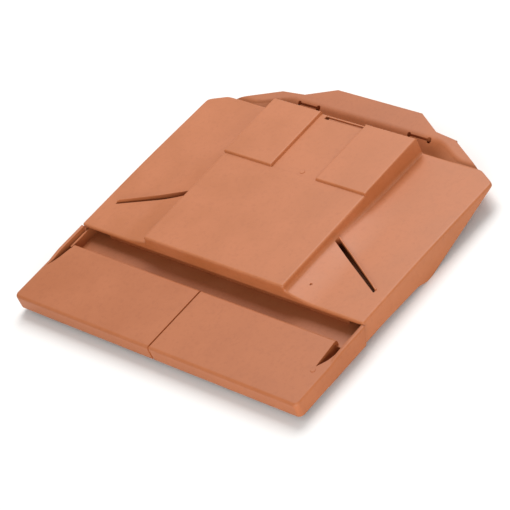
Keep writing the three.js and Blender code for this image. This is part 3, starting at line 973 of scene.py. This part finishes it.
class SizeSettings(bpy.types.PropertyGroup):
    """Sizes of the vent that a user would change."""

    wall: length("Wall", "Moulded wall of both pieces", 2.5)
    fit_gap: length("Fit gap", "Clearance between the base and the cover", 0.4)
    plate_depth: length("Plate depth", "Front plates, from the front edge to the trough", 67.5)
    plate_thickness: length("Plate thickness", "Height of the front face", 13.5)
    plate_rounding: length("Plate rounding", "Radius of the plates' front and rear upper edges", 2.8)
    side_rounding: length("Side rounding", "Radius of the upper edges along both sides", 1.8)
    joint_width: length("Joint width", "Groove between the two tile faces", 1.8)
    joint_depth: length("Joint depth", "Depth of the groove between the two tile faces", 1.6)
    rail_width: length("Rail width", "Side rails beside the front plates", 4.0)
    rail_height: length("Rail height", "Side rails over the front plates, at the skirts", 1.5)
    rail_gap: length("Rail gap", "Between a rail's end and the skirt", 0.2)
    weir_height: length("Weir height", "Height of the weir over the deck", 8.0)
    riser_front: length("Riser front", "Where the deck turns up, from the front edge", 268.0)
    flange_front: length("Flange front", "Where the flange begins, from the front edge", 280.0)
    flange_drop: length("Flange drop", "Flange top under the front plates' top", 1.0)
    side_inset: length("Side inset", "Skirts, in from the rails", 2.0)
    lip_setback: length("Lip setback", "Cover's front edge, from the front edge of the plates", 87.0)
    cover_rear: length("Cover rear", "Cover's rear edge, from the front edge of the plates", 262.0)
    wing_height: length("Wing height", "Wing over the front plates, at the lip", 3.0)
    wing_bend: length("Wing bend", "Where the wing starts to fall, from the front edge", 165.0)
    sweep_rise: length("Sweep rise", "How far the wing sweeps up to the raised plate", 5.2)
    lip_edge: length("Lip edge", "Rounding of the wing's front and rear edges", 1.6)
    lip_foot: length("Lip foot", "Lower edge of the cover's front face", 0.5)
    raised_half_width: length("Raised half width", "Half of the raised plate", 81.0)
    raised_height: length("Raised height", "Raised plate over the front plates", 14.0)
    raised_edge: length("Raised edge", "Radius of the raised plate's edges", 1.8)
    fillet: length("Fillet", "Radius at the foot of the raised plate's sides", 2.4)
    course_length: length("Course length", "Upper plates along the slope", 68.0)
    course_rise: length("Course rise", "Upper plates over the raised plate", 2.0)
    course_edge: length("Course edge", "Radius of the upper plates' edges", 1.2)
    strip_half_width: length("Strip half width", "Half of the sunk strip between the upper plates", 25.5)
    strip_drop: length("Strip drop", "Sunk strip under the raised plate", 0.5)
    slot_run: length("Slot width", "Water slots at their inner end", 4.4)
    slot_lip: length("Slot lip", "Height of the wall behind each water slot", 2.0)


class ColourSettings(bpy.types.PropertyGroup):
    """Colours of the plastic and the floor."""

    base: colour("Base", "Main colour of the base", "#ab6135")
    base_light: colour("Base, lighter", "Clouds in the base's pigment", "#b1673c")
    base_dark: colour("Base, darker", "Specks in the base's pigment", "#99532b")
    cover: colour("Cover", "Main colour of the cover", "#b2683b")
    cover_light: colour("Cover, lighter", "Clouds in the cover's pigment", "#b96e43")
    cover_dark: colour("Cover, darker", "Specks in the cover's pigment", "#a35c35")
    floor: colour("Floor", "Floor under the vent", "#f7f6f4")


class StageSettings(bpy.types.PropertyGroup):
    """Camera and light."""

    place: bpy.props.FloatVectorProperty(
        name="Place", description="Where the camera stands",
        default=(1.47706, -0.90961, 1.34986), subtype="TRANSLATION", unit="LENGTH",
    )
    azimuth: angle("Azimuth", "Direction that the camera stands in, from the front to the right", 59.0582)
    elevation: angle("Elevation", "Height of the camera over the horizon", 38.0416)
    roll: angle("Roll", "Turn of the picture about the camera's own axis", -26.6966)
    lens: bpy.props.FloatProperty(
        name="Lens", description="Focal length in millimetres on a 36 mm sensor", default=190.588,
    )
    surround: bpy.props.FloatProperty(
        name="Surround", description="Strength of the even light from all round", default=0.52,
    )
    overhead: bpy.props.FloatProperty(
        name="Overhead light", description="Power of the large light overhead", default=29.0, unit="POWER",
    )
    front_card: bpy.props.FloatProperty(
        name="Front card", description="Power of the low light before the front", default=15.0, unit="POWER",
    )


class ROOFVENT_OT_base(bpy.types.Operator):
    """Build the base moulding in terracotta plastic"""

    bl_idname = "roof_vent.base"
    bl_label = "Base moulding"

    def execute(self, context):
        tints = context.scene.roof_vent_colours
        material = moulded_plastic(
            "terracotta_polypropylene_base", tints.base, tints.base_light, tints.base_dark, 0.5,
        )
        build_base(millimetres(context.scene.roof_vent_sizes), material)
        return {"FINISHED"}


class ROOFVENT_OT_cover(bpy.types.Operator):
    """Build the cover moulding in terracotta plastic"""

    bl_idname = "roof_vent.cover"
    bl_label = "Cover moulding"

    def execute(self, context):
        tints = context.scene.roof_vent_colours
        material = moulded_plastic(
            "terracotta_polypropylene_cover", tints.cover, tints.cover_light, tints.cover_dark, 0.48,
        )
        build_cover(millimetres(context.scene.roof_vent_sizes), material)
        return {"FINISHED"}


class ROOFVENT_OT_stage(bpy.types.Operator):
    """Build the floor, the light and the camera"""

    bl_idname = "roof_vent.stage"
    bl_label = "Floor, light and camera"

    def execute(self, context):
        build_stage(context.scene.roof_vent_stage, context.scene.roof_vent_colours)
        return {"FINISHED"}


class ROOFVENT_PT_panel(bpy.types.Panel):
    """Roof vent tools in the 3D view's sidebar"""

    bl_idname = "ROOFVENT_PT_panel"
    bl_label = "Roof Vent"
    bl_space_type = "VIEW_3D"
    bl_region_type = "UI"
    bl_category = "Roof Vent"

    def draw(self, context):
        column = self.layout.column()
        for attribute in SETTINGS:
            group = getattr(context.scene, attribute)
            for name in group.__annotations__:
                column.prop(group, name)
        for operator in OPERATORS:
            column.operator(operator.bl_idname)


SETTINGS = {
    "roof_vent_sizes": SizeSettings,
    "roof_vent_colours": ColourSettings,
    "roof_vent_stage": StageSettings,
}
OPERATORS = (ROOFVENT_OT_base, ROOFVENT_OT_cover, ROOFVENT_OT_stage)
CLASSES = (*SETTINGS.values(), *OPERATORS, ROOFVENT_PT_panel)


def register():
    """Adds the classes and the scene's settings."""
    for cls in CLASSES:
        bpy.utils.register_class(cls)
    for attribute, group in SETTINGS.items():
        setattr(bpy.types.Scene, attribute, bpy.props.PointerProperty(type=group))


def unregister():
    """Takes the scene's settings and the classes away."""
    for attribute in SETTINGS:
        delattr(bpy.types.Scene, attribute)
    for cls in reversed(CLASSES):
        bpy.utils.unregister_class(cls)


def main():
    """Builds the whole."""
    register()
    bpy.ops.roof_vent.base()
    bpy.ops.roof_vent.cover()
    bpy.ops.roof_vent.stage()
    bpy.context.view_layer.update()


if __name__ == "__main__":
    main()
